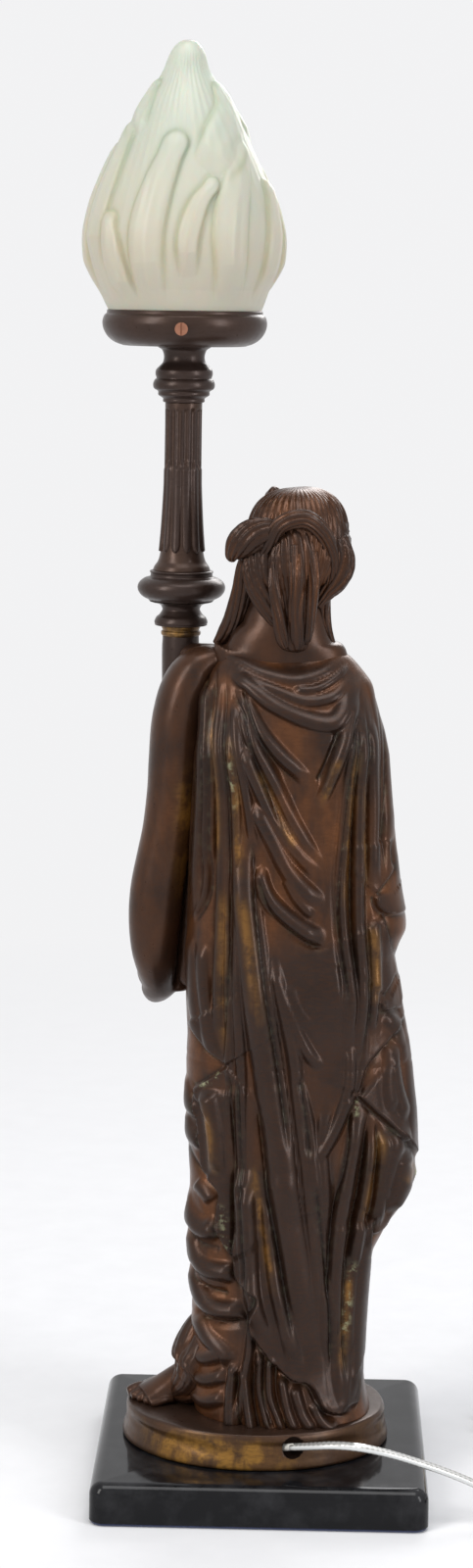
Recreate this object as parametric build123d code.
from build123d import *

"""Figural table lamp: a draped standing figure holds a fluted torch with a flame glass.

Millimetres, +Z up, origin at the centre of the underside. Seen along +Y the figure's
back is to the viewer and the torch is on the left. One STEP file per piece.
"""

import os
from math import copysign, cos, dist, pi, radians, sin, tan

os.makedirs("parts", exist_ok=True)

# ---------------------------------------------------------------- driving dimensions
# Felt pad and stone plinth
PAD_THICKNESS = 1.0
PAD_INSET = 3.0
PLINTH_SIDE = 156.0
PLINTH_HEIGHT = 18.0
PLINTH_CORNER = 7.0
PLINTH_NOSE = 6.0

# Hollow oval base of the figure
OVAL_X, OVAL_Y = -3.0, -4.0
OVAL_HALF_X, OVAL_HALF_Y = 63.5, 53.0
OVAL_HEIGHT = 16.5
OVAL_WALL = 3.5
OVAL_EDGE = 1.6
CORD_HOLE_X, CORD_HOLE_Y = 15.4, -54.0
CORD_HOLE_R = 5.2
CORD_HOLE_DROP = 6.0          # hole's axis below the top of the base

# Fixings from the plinth into the base, and from the base into the figure
STUD_SPACING = 88.0
STUD_R = 2.5
NUT_FLATS = 8.0
NUT_HEIGHT = 4.0
WASHER_R = 5.0
WASHER_T = 1.0
BOSS_R = 6.5
FIGURE_SCREW_SPACING = 30.0
FIGURE_SCREW_R = 2.5
FIGURE_SCREW_GRIP = 12.0
SCREW_HEAD_ROOM = 5.5         # for its head, under the base's top

# Figure
FIGURE_HEIGHT = 436.5         # from the top of the base to the crown
FIGURE_WALL = 5.0
FIGURE_FLOOR = 15.0
FOLDS = 14                    # fold lobes round the drapery
FOLD_DEPTH = 3.2
FINGER_R = 3.3
FINGER_PITCH = 6.2
NECK_SPIGOT_R = 5.0
NECK_SPIGOT_LENGTH = 8.0
WIRE_WAY_R = 4.0
LINK_BORE_R = 3.6
NECK_CENTRE = (8.0, 0.5)
HEAD_TURN = 50.0              # degrees from +X towards +Y
SHOULDER_WIRE = (-9.0, 0.0)   # where the wire goes down the figure
WIRE_FLOOR = (4.0, -22.0)     # and where it leaves it

# Torch
TORCH_X, TORCH_Y = -44.7, 26.0
SHAFT_TOP_R = 9.2
SHAFT_BUTT_R = 6.0
SHAFT_LENGTH = 178.0
SHAFT_RISE = 13.0             # shaft above the centre of its link to the shoulder
SHAFT_COLLAR_R = 9.9
SPOOL_HEIGHT = 11.9
SPOOL_BEAD_R = 12.9
SPOOL_WAIST_R = 9.1
SPOOL_FLANGE_R = 14.3
KNOP_HEIGHT = 15.0
KNOP_R = 21.3
COLUMN_HEIGHT = 81.3
COLUMN_R = 9.1
COLUMN_FOOT_R = 13.6
FLUTES = 16
FLUTE_R = 1.1
TONGUES = 12
CAPITAL_HEIGHT = 27.3
CAPITAL_BEAD_R = 15.0
CAPITAL_NECK_R = 10.0

# Shade gallery and its three screws
GALLERY_HEIGHT = 17.4
GALLERY_R = 39.9
GALLERY_WALL = 2.6
GALLERY_FLOOR = 2.5
GALLERY_SCREWS = 3
SCREW_LEVEL = 8.8             # above the gallery's underside
SCREW_SHANK_R = 1.6
SCREW_HEAD_R = 3.1
SCREW_HEAD_T = 1.6

# Threaded tube and lampholder
TUBE_R = 5.0
TUBE_BORE_R = 3.6
TUBE_GRIP = 8.0               # tube in the torch shaft
LOCKNUT_FLATS = 14.0
LOCKNUT_HEIGHT = 3.0
HOLDER_R = 12.6
HOLDER_CAP_HEIGHT = 15.0
HOLDER_SHELL_HEIGHT = 25.0
HOLDER_WALL = 1.5
CORE_HEIGHT = 7.0
LAMP_THREAD_R = 6.8
LAMP_CAP_HEIGHT = 24.0
BULB_R = 17.0
BULB_HEIGHT = 62.0

# Flame glass
GLASS_HEIGHT = 146.4
GLASS_R = 49.4
GLASS_NECK_R = 35.0
GLASS_BEAD_R = 36.4
GLASS_WALL = 2.6
FLAMES = 7
FLAME_DEPTH = 2.6
FLAME_TWIST = 22.0            # degrees, neck to tip

# Cord, inline switch and plug
CORD_D = 5.6
FLEX_D = 3.2
COIL_GAP = 0.45
COIL_X, COIL_Y = 185.0, 1.0
COIL_OUTER_R = 46.0
COIL_TURNS_IN = 4.0
COIL_TURNS_OUT = 3.0
SWITCH_X, SWITCH_Y = 160.0, -62.0
SWITCH_LENGTH = 60.0
SWITCH_WIDTH = 24.0
SWITCH_HEIGHT = 17.0
SWITCH_WALL = 1.8
ROCKER_LENGTH = 18.0
ROCKER_WIDTH = 9.0
ROCKER_TILT = 8.0             # degrees each side of level
PLUG_WIDTH = 35.3
PLUG_HEIGHT = 13.7
PLUG_LENGTH = 30.0
PLUG_RELIEF = 14.0
PLUG_PIN_R = 2.0
PLUG_PIN_LENGTH = 19.0
PLUG_PIN_SPACING = 18.6

# Bends of the cord between the coil and the plug, from the coil's end
TAIL_STEPS = [
    (0.0, 12.0, 0.0), (-2.9, 24.7, -1.3), (-9.6, 35.8, -2.7), (-19.4, 44.3, -3.5), (-31.4, 49.4, -3.3),
    (-43.3, 51.1, -2.4),
]

# Clearances
FIT = 0.1                     # radial, pin in bore
RUNNING = 0.08                # radial, moving pin in its bearing
GAP = 0.3                     # between curved faces that only rest together

# ---------------------------------------------------------------- levels worked out
PLINTH_TOP = PAD_THICKNESS + PLINTH_HEIGHT
BASE_TOP = PLINTH_TOP + OVAL_HEIGHT
NECK_LEVEL = 0.83             # shares of the figure's height
SHOULDER_LEVEL = 0.813
BRACKET_Z = BASE_TOP + SHOULDER_LEVEL * FIGURE_HEIGHT
SHAFT_TOP = BRACKET_Z + SHAFT_RISE
SHAFT_BOTTOM = SHAFT_TOP - SHAFT_LENGTH
SPOOL_TOP = SHAFT_TOP + SPOOL_HEIGHT
KNOP_TOP = SPOOL_TOP + KNOP_HEIGHT
COLUMN_TOP = KNOP_TOP + COLUMN_HEIGHT
CAPITAL_TOP = COLUMN_TOP + CAPITAL_HEIGHT
GALLERY_TOP = CAPITAL_TOP + GALLERY_HEIGHT
GLASS_BOTTOM = CAPITAL_TOP + GALLERY_FLOOR
LOCKNUT_TOP = GLASS_BOTTOM + WASHER_T + LOCKNUT_HEIGHT
HOLDER_TOP = LOCKNUT_TOP + HOLDER_CAP_HEIGHT + HOLDER_SHELL_HEIGHT
CORE_BOTTOM = LOCKNUT_TOP + HOLDER_CAP_HEIGHT + 1.0
CORE_TOP = CORE_BOTTOM + CORE_HEIGHT
CORE_FLOOR = CORE_TOP - 2.0
LAMP_CAP_BOTTOM = CORE_FLOOR + 3.0
BULB_BOTTOM = LAMP_CAP_BOTTOM + LAMP_CAP_HEIGHT + 1.0
NECK_Z = BASE_TOP + NECK_LEVEL * FIGURE_HEIGHT
BRACKET_HEIGHT = 15.0
BRACKET_WIDTH = 12.0
FLEX_IN_TUBE = LOCKNUT_TOP + HOLDER_CAP_HEIGHT - 2.0
CORD_START = (CORD_HOLE_X, CORD_HOLE_Y, BASE_TOP - CORD_HOLE_DROP + 0.7)
EXIT_DIRECTION = (0.738, -0.62, 0.266)
SWITCH_CORD_Z = SWITCH_HEIGHT / 2
COIL_PITCH = CORD_D + COIL_GAP
COIL_START = (COIL_X + COIL_OUTER_R, COIL_Y - CORD_D, CORD_D / 2)

# Drapery levels: share of the figure's height, then left, right, back and front
DRAPERY = [
    (0.000, -24.0, 50.0, -47.0, 30.0),
    (0.032, -32.0, 48.0, -43.0, 28.0),
    (0.119, -35.0, 49.0, -36.0, 29.0),
    (0.174, -37.5, 57.0, -35.0, 30.0),
    (0.222, -38.0, 69.5, -35.0, 30.0),
    (0.252, -38.5, 74.0, -35.0, 31.0),
    (0.355, -40.0, 71.0, -35.0, 32.0),
    (0.470, -37.0, 64.5, -36.0, 31.0),
    (0.529, -35.5, 67.5, -36.0, 30.0),
    (0.586, -35.0, 64.0, -36.0, 30.0),
    (0.664, -35.0, 60.0, -35.0, 30.0),
    (0.722, -35.0, 57.0, -33.0, 30.0),
    (0.763, -35.0, 53.0, -29.0, 26.0),
    (0.793, -31.0, 49.0, -23.0, 19.0),
    (0.813, -23.0, 40.0, -16.0, 13.0),
    (NECK_LEVEL, -4.0, 22.0, -10.0, 11.0),
]
# The same for the hollow inside, which stops under the shoulders
HOLLOW = [
    # share of the height, extra wall
    (0.000, 0.0), (0.119, 0.0), (0.222, 5.0), (0.355, 5.0), (0.529, 3.0), (0.722, 3.0), (0.775, 8.0),
]


# ---------------------------------------------------------------- helpers
def save(shape, node):
    """Write one piece under its node's name."""
    export_step(shape, f"parts/{node}.step")


def rod(radius, bottom, top, x=0.0, y=0.0):
    """Upright cylinder between two levels."""
    upright = (Align.CENTER, Align.CENTER, Align.MIN)
    return Pos(x, y, bottom) * Cylinder(radius, top - bottom, align=upright)


def ring(outer, inner, bottom, top, x=0.0, y=0.0):
    """Upright tube between two levels."""
    return rod(outer, bottom, top, x, y) - rod(inner, bottom - 1, top + 1, x, y)


def block(x0, x1, y0, y1, z0, z1):
    """Box between two corners."""
    size = (x1 - x0, y1 - y0, z1 - z0)
    return Pos((x0 + x1) / 2, (y0 + y1) / 2, (z0 + z1) / 2) * Box(*size)


def nut(flats, bore, bottom, height, x=0.0, y=0.0):
    """Hexagon nut."""
    hexagon = RegularPolygon(flats / 2, 6, major_radius=False)
    body = extrude(Pos(x, y, bottom) * hexagon, height)
    return body - rod(bore, bottom - 1, bottom + height + 1, x, y)


def turned(start, *steps):
    """Solid of revolution about Z: a step is a line's end, an arc's middle and end, or a curve's points."""
    edges = []
    here = start
    for step in steps:
        end = step[-2:]
        if len(step) == 2:
            edges.append(Line((here[0], 0, here[1]), (end[0], 0, end[1])))
        elif len(step) > 4:
            through = [(r, 0, z) for r, z in zip(step[::2], step[1::2])]
            edges.append(Spline((here[0], 0, here[1]), *through))
        else:
            middle = (step[0], 0, step[1])
            edges.append(ThreePointArc((here[0], 0, here[1]), middle, (end[0], 0, end[1])))
        here = end
    edges.append(Line((here[0], 0, here[1]), (start[0], 0, start[1])))
    return revolve(make_face(edges), Axis.Z)


def on_torch(shape, bottom):
    """Carry a turned piece from the origin to its level on the torch."""
    return Pos(TORCH_X, TORCH_Y, bottom) * shape


def limb(stations, side=(1, 0, 0)):
    """Smooth solid through oval sections (x, y, z, half width, half depth), square to its path."""
    points = [Vector(*s[:3]) for s in stations]
    sections = []
    for i, station in enumerate(stations):
        along = points[min(i + 1, len(points) - 1)] - points[max(i - 1, 0)]
        plane = Plane(points[i], x_dir=square_to(Vector(*side), along), z_dir=along)
        sections.append(plane * Ellipse(station[3], station[4]))
    return loft(sections)


def square_to(side, along):
    """The part of a direction that is square to another."""
    unit = along.normalized()
    return side - unit * side.dot(unit)


def corner_radii(points):
    """As large an arc at each corner as its two runs allow."""
    radii = []
    for before, corner, after in zip(points, points[1:], points[2:]):
        turn = (Vector(*corner) - Vector(*before)).get_angle(Vector(*after) - Vector(*corner))
        run = min(dist(before, corner), dist(corner, after))
        radii.append(0.45 * run / tan(radians(turn) / 2))
    return radii


def tube(name, points, diameter):
    """Round tube along straight runs joined by arcs."""
    radii = corner_radii(points)
    path = FilletPolyline(*points, radius=radii)
    section = Plane(origin=path @ 0, z_dir=path % 0) * Circle(diameter / 2)
    solid = sweep(section, path=path)
    share = solid.volume / (pi * diameter**2 / 4 * path.length)
    print(name, "length", round(path.length, 1), "volume", round(share, 3))
    print("  radii", [round(r, 1) for r in radii])
    return solid


# ---------------------------------------------------------------- plinth and base
def felt_pad():
    side = PLINTH_SIDE - 2 * PAD_INSET
    return extrude(RectangleRounded(side, side, PLINTH_CORNER), PAD_THICKNESS)


def stud_places():
    return [(OVAL_X - STUD_SPACING / 2, OVAL_Y), (OVAL_X + STUD_SPACING / 2, OVAL_Y)]


def plinth():
    plan = RectangleRounded(PLINTH_SIDE, PLINTH_SIDE, PLINTH_CORNER)
    slab = extrude(Pos(0, 0, PAD_THICKNESS) * plan, PLINTH_HEIGHT)
    top_edges = slab.edges().group_by(Axis.Z)[-1]
    slab = fillet(top_edges, PLINTH_NOSE)
    for x, y in stud_places():
        slab -= rod(STUD_R + 0.5, PAD_THICKNESS, PLINTH_TOP, x, y)
        slab -= rod(WASHER_R + 2, PAD_THICKNESS, counterbore_top(), x, y)
    return slab


def counterbore_top():
    """The nut and washer sit wholly inside the plinth's underside."""
    return PAD_THICKNESS + 1.5 + NUT_HEIGHT + WASHER_T


def oval(grow, bottom, height):
    face = Pos(OVAL_X, OVAL_Y, bottom) * Ellipse(OVAL_HALF_X + grow, OVAL_HALF_Y + grow)
    return extrude(face, height)


def figure_screw_places():
    half = FIGURE_SCREW_SPACING / 2
    middle = 13.0
    return [(middle - half, -8.0), (middle + half, -8.0)]


def foot(heel, toe, half_width, height):
    """Bare foot from heel to toes, flat on the base."""
    x0, y0 = heel
    x1, y1 = toe
    stations = []
    # share of the length, of the width and of the height
    shares = [(0.0, 0.62, 0.8), (0.3, 0.8, 1.0), (0.6, 1.0, 0.72), (0.85, 1.0, 0.45), (1.0, 0.7, 0.28)]
    for share, width, rise in shares:
        x = x0 + share * (x1 - x0)
        y = y0 + share * (y1 - y0)
        stations.append((x, y, BASE_TOP - 0.4 * height * rise, half_width * width, 1.4 * height * rise))
    shape = limb(stations, side=(y0 - y1, x1 - x0, 0))
    floor = block(-90, 90, -90, 90, BASE_TOP - 30, BASE_TOP - 0.5)
    return shape - floor


def cord_hole():
    plane = Plane(origin=(CORD_HOLE_X, OVAL_Y, BASE_TOP - CORD_HOLE_DROP), z_dir=(0, -1, 0))
    return extrude(plane * Circle(CORD_HOLE_R), OVAL_HALF_Y + 5)


def oval_base(figure):
    """Hollow oval casting with its two bosses, the cord's hole and the two bare feet."""
    shell = fillet(oval(0, PLINTH_TOP, OVAL_HEIGHT).edges().group_by(Axis.Z)[-1], OVAL_EDGE)
    shell -= oval(-OVAL_WALL, PLINTH_TOP, OVAL_HEIGHT - OVAL_WALL)
    for x, y in stud_places():
        shell += rod(BOSS_R, PLINTH_TOP, BASE_TOP - OVAL_WALL, x, y)
        shell -= rod(STUD_R + FIT, PLINTH_TOP, BASE_TOP - OVAL_WALL, x, y)
    for x, y in figure_screw_places():
        shell -= rod(FIGURE_SCREW_R + FIT, PLINTH_TOP, BASE_TOP, x, y)
        shell -= rod(SCREW_HEAD_ROOM, PLINTH_TOP, BASE_TOP - OVAL_WALL, x, y)
    x, y = WIRE_FLOOR
    shell -= rod(WIRE_WAY_R, PLINTH_TOP, BASE_TOP + 1, x, y)
    shell -= cord_hole()
    left = foot((-24, -2), (-62, -14), 9.0, 11.0) - figure
    right = foot((30, 18), (36, 44), 9.0, 11.0) - figure
    return shell + left + right


def anchor_studs():
    top = BASE_TOP - OVAL_WALL - 1
    return Compound([rod(STUD_R, PAD_THICKNESS + 0.8, top, x, y) for x, y in stud_places()])


def anchor_nuts():
    bottom = counterbore_top() - WASHER_T - NUT_HEIGHT
    return Compound([nut(NUT_FLATS, STUD_R + FIT, bottom, NUT_HEIGHT, x, y) for x, y in stud_places()])


def anchor_washers():
    top = counterbore_top()
    return Compound([ring(WASHER_R, STUD_R + FIT, top - WASHER_T, top, x, y) for x, y in stud_places()])


def figure_screws():
    """Round-head screws up through the base's top into the figure."""
    under = BASE_TOP - OVAL_WALL
    screws = []
    for x, y in figure_screw_places():
        shank = rod(FIGURE_SCREW_R, under, BASE_TOP + FIGURE_SCREW_GRIP - 1, x, y)
        head = rod(2 * FIGURE_SCREW_R, under - 2.5, under, x, y)
        screws.append(shank + head)
    return Compound(screws)


# ---------------------------------------------------------------- figure
def level_z(share):
    """Height of a level given as a share of the figure's height."""
    return BASE_TOP + share * FIGURE_HEIGHT


def plan_curve(level, left, right, back, front, depth=0.0, inset=0.0, count=4 * FOLDS):
    """Closed curve round the figure at one level, grooved between its folds."""
    middle_x, middle_y = (left + right) / 2, (back + front) / 2
    half_x, half_y = (right - left) / 2 - inset, (front - back) / 2 - inset
    points = []
    for i in range(count):
        turn = 2 * pi * i / count
        c, s = cos(turn), sin(turn)
        groove = depth * (1 - cos(FOLDS * turn)) / 2
        x = middle_x + (half_x - groove) * copysign(abs(c) ** 0.86, c)
        y = middle_y + (half_y - groove) * copysign(abs(s) ** 0.86, s)
        points.append((x, y, level_z(level)))
    return make_face(Edge.make_spline(points, periodic=True))


def fold_depth(level):
    """Folds are deepest at the hem and fade out at the neckline."""
    return FOLD_DEPTH * min(1.0, max(0.0, (0.80 - level) / 0.35))


def drapery():
    return loft([plan_curve(*level, depth=fold_depth(level[0])) for level in DRAPERY])


def drapery_at(level):
    """Left, right, back and front of the drapery at any level."""
    for low, high in zip(DRAPERY, DRAPERY[1:]):
        if level <= high[0]:
            share = (level - low[0]) / (high[0] - low[0])
            return [a + share * (b - a) for a, b in zip(low[1:], high[1:])]
    return list(DRAPERY[-1][1:])


def hollow():
    sections = []
    for level, extra in HOLLOW:
        inset = FIGURE_WALL + FOLD_DEPTH + extra
        sections.append(plan_curve(level, *drapery_at(level), inset=inset, count=12))
    floor = block(-90, 90, -90, 90, BASE_TOP - 5, BASE_TOP + FIGURE_FLOOR)
    return loft(sections) - floor


def figure_body(figure):
    """Hollow draped body on a thick floor for the base's screws, with ways for the wire."""
    body = figure - hollow()
    for x, y in figure_screw_places():
        body -= rod(FIGURE_SCREW_R + FIT, BASE_TOP - 1, BASE_TOP + FIGURE_SCREW_GRIP, x, y)
    body -= rod(WIRE_WAY_R, BASE_TOP - 1, BASE_TOP + FIGURE_FLOOR + 1, *WIRE_FLOOR)
    body -= rod(WIRE_WAY_R, level_z(HOLLOW[-1][0]) - 12, BRACKET_Z, *SHOULDER_WIRE)
    body -= rod(NECK_SPIGOT_R + FIT, NECK_Z - NECK_SPIGOT_LENGTH - 0.5, NECK_Z + 1, *NECK_CENTRE)
    return body - bracket_bore()


def ahead(lead, share):
    """Point in front of the neck's axis, the way the face looks."""
    turn = radians(HEAD_TURN)
    x, y = NECK_CENTRE
    return (x + lead * cos(turn), y + lead * sin(turn), level_z(share))


def head_section(share, half_wide, half_deep, lead):
    """Oval across the head, moved towards the face and turned with it."""
    turn = radians(HEAD_TURN)
    plane = Plane(origin=ahead(lead, share), x_dir=(cos(turn), sin(turn), 0))
    return plane * Ellipse(half_deep, half_wide)


def head_core():
    """Neck, jaw, face and hair cap, from below."""
    sections = [
        head_section(NECK_LEVEL, 12.5, 13.0, 0.0),
        head_section(0.850, 11.0, 11.4, 1.0),
        head_section(0.868, 11.0, 13.0, 3.0),
        head_section(0.885, 13.0, 18.0, 6.0),
        head_section(0.905, 16.5, 21.5, 6.0),
        head_section(0.935, 20.0, 24.5, 5.5),
        head_section(0.962, 19.5, 24.0, 5.0),
        head_section(0.984, 14.5, 18.0, 4.5),
        head_section(0.996, 7.5, 9.5, 4.0),
        head_section(1.000, 2.5, 3.0, 4.0),
    ]
    return loft(sections)


def face_relief():
    """A plain calm nose and chin on the front of the head."""
    nose = limb([
        (*ahead(27.0, 0.945), 2.0, 2.0),
        (*ahead(29.6, 0.925), 2.4, 2.4),
        (*ahead(31.0, 0.912), 3.0, 2.6),
    ])
    chin = limb([
        (*ahead(19.0, 0.896), 6.0, 5.0),
        (*ahead(23.0, 0.888), 4.6, 4.0),
        (*ahead(25.0, 0.884), 2.6, 2.4),
    ], side=(0, 0, 1))
    return nose + chin


def hair_knot():
    """The tied hair behind the head: a full loop on the left, an arched one on the right and the tail."""
    left = limb([
        (3.0, -17.0, level_z(0.958), 4.5, 4.0),
        (-4.0, -19.0, level_z(0.957), 6.5, 5.0),
        (-11.0, -19.0, level_z(0.949), 8.5, 5.5),
        (-17.0, -17.0, level_z(0.938), 7.0, 5.0),
        (-19.5, -15.0, level_z(0.928), 3.5, 3.0),
    ], side=(0, 0, 1))
    arch = limb([
        (-3.0, -18.0, level_z(0.925), 3.4, 3.4),
        (1.0, -21.0, level_z(0.955), 3.8, 3.8),
        (8.0, -22.0, level_z(0.969), 4.2, 4.0),
        (17.0, -20.5, level_z(0.966), 4.2, 4.0),
        (25.0, -16.0, level_z(0.945), 4.0, 3.8),
        (28.0, -12.0, level_z(0.918), 3.6, 3.4),
        (25.0, -10.0, level_z(0.893), 2.6, 2.6),
    ], side=(0, -1, 0))
    tail = limb([
        (9.0, -13.0, level_z(0.955), 9.0, 5.0),
        (9.0, -17.0, level_z(0.925), 12.5, 5.0),
        (9.5, -18.5, level_z(0.893), 11.8, 5.0),
        (10.0, -17.0, level_z(0.862), 9.5, 4.6),
        (10.6, -16.5, level_z(0.838), 8.0, 4.4),
        (10.8, -16.5, level_z(0.828), 5.5, 3.2),
    ])
    return left + arch + tail


def side_locks():
    """Locks on both shoulders and the curls beside the face."""
    left = limb([
        (-9.0, -8.0, level_z(0.930), 5.0, 5.0),
        (-13.0, -6.0, level_z(0.895), 5.4, 4.6),
        (-17.0, -2.0, level_z(0.865), 5.4, 4.5),
        (-21.0, 2.0, level_z(0.840), 4.5, 4.0),
        (-24.5, 4.0, level_z(0.826), 3.0, 3.0),
    ])
    right = limb([
        (22.0, -5.0, level_z(0.905), 5.0, 5.0),
        (22.5, -4.0, level_z(0.870), 4.6, 4.5),
        (24.0, -3.0, level_z(0.845), 4.0, 4.0),
        (27.0, -2.0, level_z(0.826), 3.0, 3.0),
    ])
    curls = limb([
        (24.0, 0.0, level_z(0.980), 4.0, 4.0),
        (31.5, 2.0, level_z(0.962), 5.0, 5.0),
        (34.5, 4.0, level_z(0.940), 5.0, 5.0),
        (34.0, 4.0, level_z(0.918), 5.0, 5.0),
        (29.0, 2.0, level_z(0.900), 3.5, 3.5),
    ])
    return left + right + curls


def figure_head(figure, bracket):
    """Head, neck and hair, pinned into the shoulders by a round spigot."""
    head = head_core() + face_relief() + hair_knot() + side_locks()
    head = head - figure - bracket
    return head + rod(NECK_SPIGOT_R, NECK_Z - NECK_SPIGOT_LENGTH, NECK_Z + 2, *NECK_CENTRE)


def arm_z(share):
    """Height on the arm, from the shaft's butt in the hand up to the shoulder."""
    return SHAFT_BOTTOM + share * (BRACKET_Z - SHAFT_BOTTOM)


def left_arm(figure, shaft, bracket):
    """Bare arm from the shoulder to the hand that holds the torch's butt."""
    arm = limb([
        (-33.0, 3.0, arm_z(0.952), 6.0, 10.0),
        (-41.0, 3.0, arm_z(0.886), 12.0, 15.0),
        (-44.0, 2.0, arm_z(0.794), 13.0, 15.5),
        (-46.0, 1.0, arm_z(0.608), 13.0, 14.5),
        (-50.0, 0.0, arm_z(0.437), 12.5, 13.5),
        (-54.0, 0.0, arm_z(0.265), 12.5, 13.0),
        (-54.0, 6.0, arm_z(0.119), 10.5, 10.5),
        (-53.0, 13.0, arm_z(0.040), 8.0, 7.5),
        (-52.0, 20.0, arm_z(0.005), 8.5, 7.0),
        (-50.0, 26.0, arm_z(-0.008), 6.0, 6.0),
    ])
    arm += fingers()
    return arm - figure - shaft - bracket


def fingers():
    """Three fingers closed round the torch's butt."""
    grip = SHAFT_BUTT_R + FINGER_R - 0.1
    shape = None
    for i in range(3):
        place = Pos(TORCH_X, TORCH_Y, SHAFT_BOTTOM + 4 + FINGER_PITCH * i)
        loop = place * Rot(0, 0, 150) * Torus(grip, FINGER_R, major_angle=250)
        shape = loop if shape is None else shape + loop
    return shape


def right_forearm(figure):
    """Forearm and hand that gather the cloak at the waist, on the side away from the torch."""
    arm = limb([
        (52.0, 10.0, level_z(0.600), 9.0, 9.0),
        (46.0, 24.0, level_z(0.590), 9.0, 9.0),
        (36.0, 34.0, level_z(0.590), 7.6, 7.2),
        (25.0, 39.0, level_z(0.595), 6.0, 5.6),
        (16.0, 40.0, level_z(0.596), 7.6, 5.0),
        (8.0, 38.0, level_z(0.585), 6.4, 4.6),
        (4.0, 36.0, level_z(0.575), 3.6, 3.2),
    ], side=(0, 0, 1))
    return arm - figure


# ---------------------------------------------------------------- torch
def torch_shaft():
    """Tapered shaft with a rounded butt, bored at the top for the tube and the wire."""
    h = SHAFT_LENGTH
    shape = turned(
        (0, 0), (SHAFT_BUTT_R * 0.7, 1.0, SHAFT_BUTT_R, 5.0), (SHAFT_TOP_R, h - 4.5),
        (SHAFT_COLLAR_R, h - 3.2, SHAFT_TOP_R, h - 1.9), (SHAFT_TOP_R, h), (0, h),
    )
    shape -= rod(TUBE_R + FIT, h - 25, h + 1)
    return on_torch(shape, SHAFT_BOTTOM) - bracket_bore()


def bracket_line():
    """From the torch's axis into the figure's shoulder."""
    return Vector(TORCH_X, TORCH_Y, BRACKET_Z), Vector(*SHOULDER_WIRE, BRACKET_Z)


def bracket_bore():
    start, end = bracket_line()
    face = Plane(origin=start, z_dir=end - start) * Circle(LINK_BORE_R)
    return extrude(face, (end - start).length + 6)


def torch_bracket(figure, shaft):
    """Flat-topped hollow link that carries the torch on the shoulder and hides the wire."""
    start, end = bracket_line()
    plane = Plane(origin=start, x_dir=(0, 0, 1), z_dir=end - start)
    bar = extrude(plane * RectangleRounded(BRACKET_HEIGHT, BRACKET_WIDTH, 2), (end - start).length)
    bar = bar - shaft - rod(SHAFT_BUTT_R, SHAFT_BOTTOM, SHAFT_TOP, TORCH_X, TORCH_Y) - figure
    bar -= bracket_bore()
    return bar.solids().sort_by(lambda s: s.volume)[-1]


def tube_bored(shape, bottom):
    """A stacked torch piece, bored for the threaded tube."""
    return on_torch(shape - rod(TUBE_R + FIT, -1, 200), bottom)


def torch_spool():
    h = SPOOL_HEIGHT
    return tube_bored(turned(
        (0, 0), (SPOOL_BEAD_R - 2, 0), (SPOOL_BEAD_R, 0.18 * h, SPOOL_BEAD_R - 1.4, 0.40 * h),
        (SPOOL_WAIST_R, 0.64 * h, SPOOL_FLANGE_R - 1.2, 0.88 * h),
        (SPOOL_FLANGE_R, 0.94 * h, SPOOL_FLANGE_R - 0.4, h),
        (0, h),
    ), SHAFT_TOP)


def torch_knop():
    h = KNOP_HEIGHT
    return tube_bored(turned(
        (0, 0), (SPOOL_FLANGE_R, 0), (KNOP_R, 0.38 * h, COLUMN_FOOT_R + 2.6, 0.80 * h),
        (COLUMN_FOOT_R + 2.6, 0.86 * h), (COLUMN_FOOT_R + 0.6, 0.90 * h, COLUMN_FOOT_R, h), (0, h),
    ), SPOOL_TOP)


def torch_column():
    """Column with narrow flutes above and broad tongues below."""
    h = COLUMN_HEIGHT
    shape = turned(
        (0, 0), (COLUMN_FOOT_R, 0), (COLUMN_R + 1.5, 0.10 * h, COLUMN_R + 0.7, 0.26 * h),
        (COLUMN_R, 0.45 * h), (COLUMN_R, h), (0, h),
    )
    for i in range(FLUTES):
        groove = rod(FLUTE_R, 0.64 * h, 0.96 * h, COLUMN_R + 0.3)
        shape -= Rot(0, 0, 360 * i / FLUTES) * groove
    for i in range(TONGUES):
        start = (COLUMN_R + 2.1, 0, 0.13 * h)
        groove = Plane(origin=start, z_dir=(-1.5, 0, 0.45 * h)) * Circle(FLUTE_R)
        shape -= Rot(0, 0, 360 * i / TONGUES) * extrude(groove, 0.46 * h)
    return tube_bored(shape, KNOP_TOP)


def torch_capital():
    h = CAPITAL_HEIGHT
    bead = CAPITAL_BEAD_R
    return tube_bored(turned(
        (0, 0), (COLUMN_R, 0), (COLUMN_R + 0.8, 0.12 * h, bead - 2.4, 0.21 * h),
        (bead, 0.33 * h, bead - 1.8, 0.45 * h), (bead - 0.9, 0.57 * h, bead - 2.6, 0.68 * h),
        (CAPITAL_NECK_R, 0.82 * h, bead - 3.8, 0.94 * h), (bead - 3.4, 0.96 * h), (bead - 3.4, h), (0, h),
    ), COLUMN_TOP)


def screw_angles():
    """The first screw faces the figure's back."""
    return [-90 + 360 * i / GALLERY_SCREWS for i in range(GALLERY_SCREWS)]


def shade_gallery():
    """Turned cup that holds the glass, with three threaded holes."""
    h = GALLERY_HEIGHT
    outer, inner = GALLERY_R, GALLERY_R - GALLERY_WALL
    foot_r = CAPITAL_BEAD_R - 3.4
    shape = turned(
        (TUBE_R + FIT, 0), (foot_r, 0), (outer - 9, 0.05 * h, outer - 1.6, 0.30 * h),
        (outer, 0.62 * h, outer - 1.4, 0.92 * h), (outer - 2.0, h), (inner, h),
        (inner, GALLERY_FLOOR), (TUBE_R + FIT, GALLERY_FLOOR),
    )
    for angle in screw_angles():
        shape -= radial_rod(angle, SCREW_SHANK_R + RUNNING, inner - 2, outer + 2)
    return on_torch(shape, CAPITAL_TOP)


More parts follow.
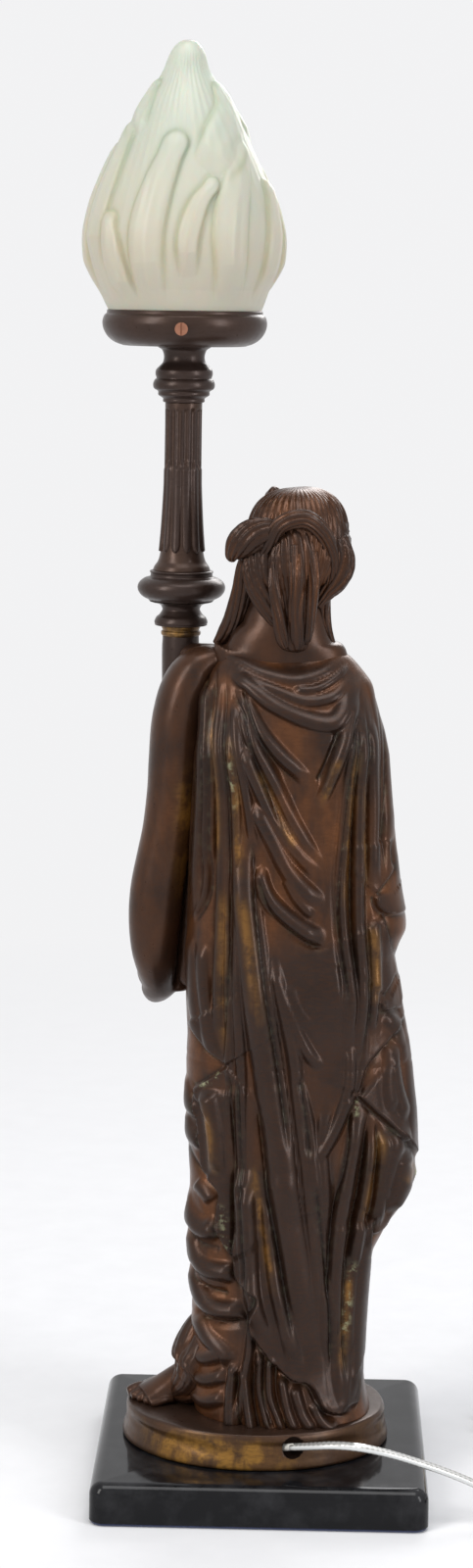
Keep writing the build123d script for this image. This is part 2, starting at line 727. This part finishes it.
def radial_rod(angle, radius, start, end):
    """Cylinder that points out from the torch's axis at the screws' level."""
    face = Plane(origin=(start, 0, SCREW_LEVEL), z_dir=(1, 0, 0)) * Circle(radius)
    return Rot(0, 0, angle) * extrude(face, end - start)


def gallery_screw(angle):
    """Shade screw with a slotted round head, its tip just off the glass."""
    shank = radial_rod(angle, SCREW_SHANK_R, GLASS_NECK_R + GAP, GALLERY_R + 0.2)
    head = radial_rod(angle, SCREW_HEAD_R, GALLERY_R + GAP, GALLERY_R + GAP + SCREW_HEAD_T)
    shank += radial_rod(angle, SCREW_SHANK_R, GALLERY_R, GALLERY_R + 1)
    slot = Rot(0, 0, angle) * block(
        GALLERY_R + GAP + 0.6 * SCREW_HEAD_T, GALLERY_R + 5, -0.4, 0.4, SCREW_LEVEL - 4, SCREW_LEVEL + 4
    )
    return on_torch(shank + head - slot, CAPITAL_TOP)


# ---------------------------------------------------------------- electrics in the torch
def lamp_tube():
    top = LOCKNUT_TOP + 0.6 * HOLDER_CAP_HEIGHT
    return ring(TUBE_R, TUBE_BORE_R, SHAFT_TOP - TUBE_GRIP, top, TORCH_X, TORCH_Y)


def locknut():
    bottom = LOCKNUT_TOP - LOCKNUT_HEIGHT
    return nut(LOCKNUT_FLATS, TUBE_R + FIT, bottom, LOCKNUT_HEIGHT, TORCH_X, TORCH_Y)


def lock_washer():
    outer = LOCKNUT_FLATS / 2 + 2
    return ring(outer, TUBE_R + FIT, GLASS_BOTTOM, GLASS_BOTTOM + WASHER_T, TORCH_X, TORCH_Y)


def holder_cap():
    """Domed cap screwed on the tube, open above for the terminals."""
    h = HOLDER_CAP_HEIGHT
    shape = turned(
        (TUBE_R + FIT, 0), (TUBE_R + 3, 0), (HOLDER_R - 1, 0.25 * h, HOLDER_R, 0.6 * h), (HOLDER_R, h),
        (HOLDER_R - HOLDER_WALL, h), (HOLDER_R - HOLDER_WALL, 0.62 * h), (TUBE_R + FIT, 0.62 * h),
    )
    return on_torch(shape, LOCKNUT_TOP)


def holder_shell():
    bottom = LOCKNUT_TOP + HOLDER_CAP_HEIGHT
    shell = ring(HOLDER_R, HOLDER_R - HOLDER_WALL, bottom, HOLDER_TOP - 1.5, TORCH_X, TORCH_Y)
    rim = ring(HOLDER_R, LAMP_THREAD_R + 1.6, HOLDER_TOP - 1.5, HOLDER_TOP, TORCH_X, TORCH_Y)
    return shell + rim


def holder_core():
    """Insulating core that seats the brass sleeve and takes the terminals."""
    outer = HOLDER_R - HOLDER_WALL - FIT
    core = rod(outer, CORE_BOTTOM, CORE_TOP, TORCH_X, TORCH_Y)
    core -= rod(LAMP_THREAD_R + 0.6 + FIT, CORE_FLOOR, CORE_TOP + 1, TORCH_X, TORCH_Y)
    for x in terminal_places():
        core -= rod(1.2 + FIT, CORE_BOTTOM - 1, CORE_FLOOR - 1, x, TORCH_Y)
    return core


def terminal_places():
    return [TORCH_X - 7.0, TORCH_X + 7.0]


def terminal_screws():
    screws = []
    for x in terminal_places():
        head = rod(2.2, CORE_BOTTOM - 2.0, CORE_BOTTOM, x, TORCH_Y)
        screws.append(head + rod(1.2, CORE_BOTTOM, CORE_FLOOR - 1.5, x, TORCH_Y))
    return Compound(screws)


def screw_shell():
    """Brass sleeve that takes the lamp's cap."""
    return ring(LAMP_THREAD_R + 0.6, LAMP_THREAD_R + FIT, CORE_FLOOR, HOLDER_TOP - 2, TORCH_X, TORCH_Y)


def centre_contact():
    """Sprung tongue under the lamp's tip."""
    strip = block(-4.5, 4.5, -2.0, 2.0, 0, 0.6)
    hump = rod(2.0, 0.6, LAMP_CAP_BOTTOM - CORE_FLOOR)
    return Pos(TORCH_X, TORCH_Y, CORE_FLOOR) * (strip + hump)


def bulb_cap():
    h, r = LAMP_CAP_HEIGHT, LAMP_THREAD_R
    shape = turned(
        (0, 0), (2.2, 0), (2.6, 1.6), (r - 0.3, 4.0), (r, 5.0), (r, h - 1),
        (r + 0.5, h), (r + 0.5, h + 3), (r - 0.5, h + 3), (r - 0.5, 6), (0, 6),
    )
    return on_torch(shape, LAMP_CAP_BOTTOM)


def bulb_outline(inset):
    """Candle bulb from its cemented neck to the tip."""
    h, r = BULB_HEIGHT - inset, BULB_R - inset
    neck = LAMP_THREAD_R - 0.8 - inset
    return turned(
        (0, 0), (neck, 0), (neck, 0.10 * h),
        (0.86 * r, 0.22 * h, r, 0.40 * h, 0.80 * r, 0.66 * h, 0.36 * r, 0.90 * h,
         0.22 * r, 0.96 * h, 0.06 * r, h),
        (0, h),
    )


def bulb_glass():
    inside = Pos(0, 0, 0.9) * bulb_outline(0.9)
    return on_torch(bulb_outline(0) - inside - rod(LAMP_THREAD_R - 1.7, -1, 3), BULB_BOTTOM)


def bulb_stem():
    """Glass mount with its two leads and the filament."""
    mount = turned((0, 0), (4.4, 0), (4.4, 2.0), (2.4, 6.0, 2.0, 16.0), (0, 17.0))
    filament = mount
    for side in (-1, 1):
        lead = [(side * 1.4, 0, 14, 0.5, 0.5), (side * 3.5, 0, 22, 0.5, 0.5), (side * 5.5, 0, 33, 0.5, 0.5)]
        filament += limb(lead)
    filament += Pos(0, 0, 33) * Rot(0, 90, 0) * Cylinder(0.5, 11.4)
    return on_torch(filament, BULB_BOTTOM)


# ---------------------------------------------------------------- flame glass
FLAME_OUTLINE = [
    # share of the height, share of the greatest radius
    (0.120, 0.745), (0.165, 0.850), (0.225, 0.945), (0.310, 1.000), (0.410, 0.968), (0.520, 0.850),
    (0.625, 0.735), (0.725, 0.590), (0.825, 0.375), (0.900, 0.245), (0.955, 0.170), (0.995, 0.060),
]


def flame_curve(share, reach, inset, depth):
    """Plan curve of the flames at one level, turned a little with height."""
    count = 4 * FLAMES
    points = []
    for i in range(count):
        turn = 2 * pi * i / count
        r = GLASS_R * reach - inset - depth * (1 - cos(FLAMES * turn)) / 2
        angle = turn + radians(FLAME_TWIST) * share
        points.append((r * cos(angle), r * sin(angle), GLASS_HEIGHT * share))
    return make_face(Edge.make_spline(points, periodic=True))


def shade_glass():
    """Hollow flame-shaped shade, open at its neck."""
    outer = loft([flame_curve(s, r, 0.0, FLAME_DEPTH * min(1.0, 1.6 * r)) for s, r in FLAME_OUTLINE])
    inside = FLAME_OUTLINE[:-2]
    cavity = loft([flame_curve(s, r, GLASS_WALL + FLAME_DEPTH * min(1.0, 1.6 * r), 0.0) for s, r in inside])
    neck_top = GLASS_HEIGHT * FLAME_OUTLINE[0][0]
    neck = rod(GLASS_NECK_R, 0, neck_top + 0.5)
    neck += turned((0, 0), (GLASS_NECK_R, 0), (GLASS_BEAD_R, 2.2, GLASS_NECK_R, 4.4), (0, 4.4))
    shape = outer + neck - cavity - rod(GLASS_NECK_R - GLASS_WALL, -1, neck_top + 1)
    return on_torch(shape, GLASS_BOTTOM)


# ---------------------------------------------------------------- wiring
def flex_route():
    """From the terminals down the tube, through the link and the figure, out to the cord's hole."""
    x, y = WIRE_FLOOR
    shoulder_x, shoulder_y = SHOULDER_WIRE
    return [
        (TORCH_X, TORCH_Y, FLEX_IN_TUBE),
        (TORCH_X, TORCH_Y, BRACKET_Z),
        (shoulder_x, shoulder_y, BRACKET_Z),
        (shoulder_x, shoulder_y, level_z(HOLLOW[-1][0]) - 12),
        (x, y, BASE_TOP + FIGURE_FLOOR + 10),
        (x, y, along_exit(-16.0)[2]),
        along_exit(-16.0),
        CORD_START,
    ]


def inner_flex():
    points = flex_route()
    radii = [4.5, 4.5, 30.0, 20.0, 4.0, 4.0]
    path = FilletPolyline(*points, radius=radii)
    section = Plane(origin=path @ 0, z_dir=path % 0) * Circle(FLEX_D / 2)
    print("inner_flex length", round(path.length, 1))
    return sweep(section, path=path)


def along_exit(run):
    """Point on the line by which the cord leaves the base."""
    return tuple(a + run * b for a, b in zip(CORD_START, EXIT_DIRECTION))


def lead_route():
    """Up over the edge of the base and down to the switch."""
    return [
        CORD_START,
        along_exit(10.9),
        (33.4, -65.4, 35.7),
        (45.3, -67.3, 35.8),
        (59.2, -65.8, 32.6),
        (75.0, -62.8, 27.0),
        (91.5, -60.8, 20.8),
        (107.5, -60.8, 13.9),
        (SWITCH_X - SWITCH_LENGTH / 2 - 11, SWITCH_Y, SWITCH_CORD_Z),
        (SWITCH_X - SWITCH_LENGTH / 2, SWITCH_Y, SWITCH_CORD_Z),
    ]


def link_route():
    """From the switch down to the floor and into the coil."""
    return [
        (SWITCH_X + SWITCH_LENGTH / 2, SWITCH_Y, SWITCH_CORD_Z),
        (200.0, SWITCH_Y, SWITCH_CORD_Z),
        (214.0, -58.5, 4.4),
        (225.0, -48.0, CORD_D / 2),
        (230.4, -33.0, CORD_D / 2),
        (COIL_START[0], -18.0, CORD_D / 2),
        COIL_START,
    ]


def coil_edges():
    """Half-turn arcs that spiral in on the lower layer, climb, and spiral out on the upper one."""
    edges = []
    side = 1
    x = COIL_X + COIL_OUTER_R
    low, high = CORD_D / 2, CORD_D / 2 + COIL_PITCH
    halves_in = int(2 * COIL_TURNS_IN)
    z = low
    for i in range(halves_in + int(2 * COIL_TURNS_OUT)):
        step = -COIL_PITCH / 2 if i < halves_in else COIL_PITCH / 2
        if i == halves_in:
            step = COIL_PITCH
        next_x = COIL_X - side * (abs(x - COIL_X) + step)
        next_z = high if i >= halves_in - 1 else low
        middle = ((x + next_x) / 2, COIL_Y + side * abs(x - next_x) / 2, (z + next_z) / 2)
        edges.append(ThreePointArc((x, COIL_Y, z), middle, (next_x, COIL_Y, next_z)))
        x, z, side = next_x, next_z, -side
    return edges, (x, COIL_Y, z)


def coil_gap(path):
    """Least gap of the coil to itself, on points a few millimetres apart."""
    count = int(path.length / 4)
    points = [path @ (i / count) for i in range(count + 1)]
    apart = int(3 * CORD_D / 4)
    pairs = ((a, b) for i, a in enumerate(points) for b in points[i + apart + 3:])
    return min((a - b).length for a, b in pairs) - CORD_D


def cord_coil():
    """One unbroken length in two layers, straight for one diameter at both ends."""
    edges, last = coil_edges()
    start = Line(COIL_START, (COIL_START[0], COIL_Y, COIL_START[2]))
    end = Line(last, (last[0], COIL_Y + CORD_D, last[2]))
    path = Wire([start.edge(), *[arc.edge() for arc in edges], end.edge()])
    section = Plane(origin=COIL_START, z_dir=(0, 1, 0)) * Circle(CORD_D / 2)
    solid = sweep(section, path=path)
    share = solid.volume / (pi * CORD_D**2 / 4 * path.length)
    print("cord_coil length", round(path.length, 1), "volume", round(share, 3))
    print("  gap", round(coil_gap(path), 2))
    return solid


def coil_end():
    _, last = coil_edges()
    return (last[0], COIL_Y + CORD_D, last[2])


def plug_back():
    """Where the cord enters the plug, which lies on its side."""
    x, y, _ = coil_end()
    return (x + TAIL_STEPS[-1][0] - 11.0, y + TAIL_STEPS[-1][1], PLUG_HEIGHT / 2)


def tail_route():
    """Off the coil and round to the plug."""
    x, y, z = coil_end()
    return [(x, y, z), *[(x + dx, y + dy, z + dz) for dx, dy, dz in TAIL_STEPS], plug_back()]


def switch_outline(grow, bottom, height):
    face = RectangleRounded(SWITCH_LENGTH + 2 * grow, SWITCH_WIDTH + 2 * grow, SWITCH_WIDTH / 2 - 1 + grow)
    return extrude(Pos(SWITCH_X, SWITCH_Y, bottom) * face, height)


def cord_slots():
    """Openings for the cord at both ends of the switch."""
    slots = None
    for side in (-1, 1):
        start = (SWITCH_X + side * (SWITCH_LENGTH / 2 + 2), SWITCH_Y, SWITCH_CORD_Z)
        hole = extrude(Plane(origin=start, z_dir=(-side, 0, 0)) * Circle(CORD_D / 2), 7)
        slots = hole if slots is None else slots + hole
    return slots


def switch_screw_places():
    along, across = SWITCH_LENGTH / 2 - 11, SWITCH_WIDTH / 2 - 6.5
    return [(SWITCH_X - along, SWITCH_Y + across), (SWITCH_X + along, SWITCH_Y - across)]


def switch_base():
    """Lower half of the inline switch."""
    half = SWITCH_HEIGHT / 2
    shell = fillet(switch_outline(0, 0, half).edges().group_by(Axis.Z)[0], 1.5)
    shell -= switch_outline(-SWITCH_WALL, SWITCH_WALL, half)
    for x, y in switch_screw_places():
        shell += rod(2.6, 0.5, half, x, y)
        shell -= rod(1.2 + FIT, -1, half + 1, x, y) + rod(2.3, -1, 1.6, x, y)
    return shell - cord_slots()


def rocker_pivot():
    return (SWITCH_X, SWITCH_Y, SWITCH_HEIGHT - 3.6)


def switch_cover():
    """Upper half, with the rocker's window and its two bearings."""
    half = SWITCH_HEIGHT / 2
    shell = switch_outline(0, half, half)
    shell = fillet(shell.edges().group_by(Axis.Z)[-1], 3.0)
    shell -= switch_outline(-SWITCH_WALL, half - 1, half - SWITCH_WALL + 1)
    px, py, pz = rocker_pivot()
    half_l, half_w = ROCKER_LENGTH / 2 + 0.6, ROCKER_WIDTH / 2 + 0.4
    for side in (-1, 1):
        y0, y1 = sorted((py + side * half_w, py + side * (half_w + 2)))
        shell += block(px - 4, px + 4, y0, y1, half + 1, SWITCH_HEIGHT - 1)
    shell -= block(px - half_l, px + half_l, py - half_w, py + half_w, half, SWITCH_HEIGHT + 1)
    shell -= Pos(px, py, pz) * Rot(90, 0, 0) * Cylinder(1.5 + RUNNING, ROCKER_WIDTH + 3.6)
    for x, y in switch_screw_places():
        shell += rod(2.6, half, SWITCH_HEIGHT - 1, x, y)
        shell -= rod(1.2 + FIT, half - 1, half + 5, x, y)
    return shell - cord_slots()


def switch_rocker():
    """Rocker in its first position, on two stub pins."""
    px, py, pz = rocker_pivot()
    profile = Polyline(
        (-ROCKER_LENGTH / 2, 3.4), (0, 2.2), (ROCKER_LENGTH / 2, 3.4), (ROCKER_LENGTH / 2 - 1.2, -2.4),
        (-ROCKER_LENGTH / 2 + 1.2, -2.4), close=True,
    )
    key = extrude(Plane.XZ * make_face(profile), ROCKER_WIDTH / 2, both=True)
    key += Rot(90, 0, 0) * Cylinder(1.5, ROCKER_WIDTH + 3.2)
    return Pos(px, py, pz) * Rot(0, ROCKER_TILT, 0) * key


def switch_screws():
    screws = []
    for x, y in switch_screw_places():
        screws.append(rod(2.1, 0.3, 1.6, x, y) + rod(1.2, 1.6, SWITCH_HEIGHT / 2 + 4.5, x, y))
    return Compound(screws)


def plug_plane(x):
    _, y, z = plug_back()
    return Plane(origin=(x, y, z), x_dir=(0, 1, 0), z_dir=(-1, 0, 0))


def plug_face(x, half_wide, half_high):
    return plug_plane(x) * Ellipse(half_wide, half_high)


def plug_body():
    """Flat two-pin plug with its tapered relief, lying on its side."""
    back = plug_back()[0]
    front = back - PLUG_RELIEF
    half = PLUG_RELIEF / 2
    relief = loft([plug_face(back, 4.4, 4.0), plug_face(back - half, 4.8, 4.4), plug_face(front, 6.4, 5.4)])
    body = loft([
        plug_plane(front) * RectangleRounded(14, 10.8, 5),
        plug_plane(front - 0.45 * PLUG_LENGTH) * RectangleRounded(PLUG_WIDTH - 4, PLUG_HEIGHT, 5),
        plug_plane(front - PLUG_LENGTH) * RectangleRounded(PLUG_WIDTH, PLUG_HEIGHT, 5),
    ], ruled=True)
    return relief + body


def plug_pins():
    front = plug_back()[0] - PLUG_RELIEF - PLUG_LENGTH
    pins = []
    for side in (-1, 1):
        face = plug_plane(front) * Pos(side * PLUG_PIN_SPACING / 2, 0) * Circle(PLUG_PIN_R)
        pin = extrude(face, PLUG_PIN_LENGTH)
        pins.append(fillet(pin.edges().group_by(Axis.X)[0], 1.2))
    return Compound(pins)


# ---------------------------------------------------------------- write every piece
def main():
    figure = drapery()
    shaft = torch_shaft()
    bracket = torch_bracket(figure, shaft)
    save(felt_pad(), "felt_pad")
    save(plinth(), "plinth")
    save(oval_base(figure), "oval_base")
    save(anchor_studs(), "anchor_studs")
    save(anchor_nuts(), "anchor_nuts")
    save(anchor_washers(), "anchor_washers")
    save(figure_screws(), "figure_screws")
    save(figure_body(figure), "figure_body")
    save(figure_head(figure, bracket), "figure_head")
    save(left_arm(figure, shaft, bracket), "left_arm")
    save(right_forearm(figure), "right_forearm")
    save(shaft, "torch_shaft")
    save(bracket, "torch_bracket")
    save(torch_spool(), "torch_spool")
    save(torch_knop(), "torch_knop")
    save(torch_column(), "torch_column")
    save(torch_capital(), "torch_capital")
    save(shade_gallery(), "shade_gallery")
    for name, angle in zip(("rear", "right", "left"), screw_angles()):
        save(gallery_screw(angle), f"gallery_screw_{name}")
    save(lamp_tube(), "lamp_tube")
    save(lock_washer(), "lock_washer")
    save(locknut(), "locknut")
    save(holder_cap(), "holder_cap")
    save(holder_shell(), "holder_shell")
    save(holder_core(), "holder_core")
    save(terminal_screws(), "terminal_screws")
    save(screw_shell(), "screw_shell")
    save(centre_contact(), "centre_contact")
    save(bulb_cap(), "bulb_cap")
    save(bulb_glass(), "bulb_glass")
    save(bulb_stem(), "bulb_stem")
    save(shade_glass(), "shade_glass")
    save(inner_flex(), "inner_flex")
    save(tube("cord_lead", lead_route(), CORD_D), "cord_lead")
    save(tube("cord_link", link_route(), CORD_D), "cord_link")
    save(cord_coil(), "cord_coil")
    save(tube("cord_tail", tail_route(), CORD_D), "cord_tail")
    save(switch_base(), "switch_base")
    save(switch_cover(), "switch_cover")
    save(switch_rocker(), "switch_rocker")
    save(switch_screws(), "switch_screws")
    save(plug_body(), "plug_body")
    save(plug_pins(), "plug_pins")


if __name__ == "__main__":
    main()
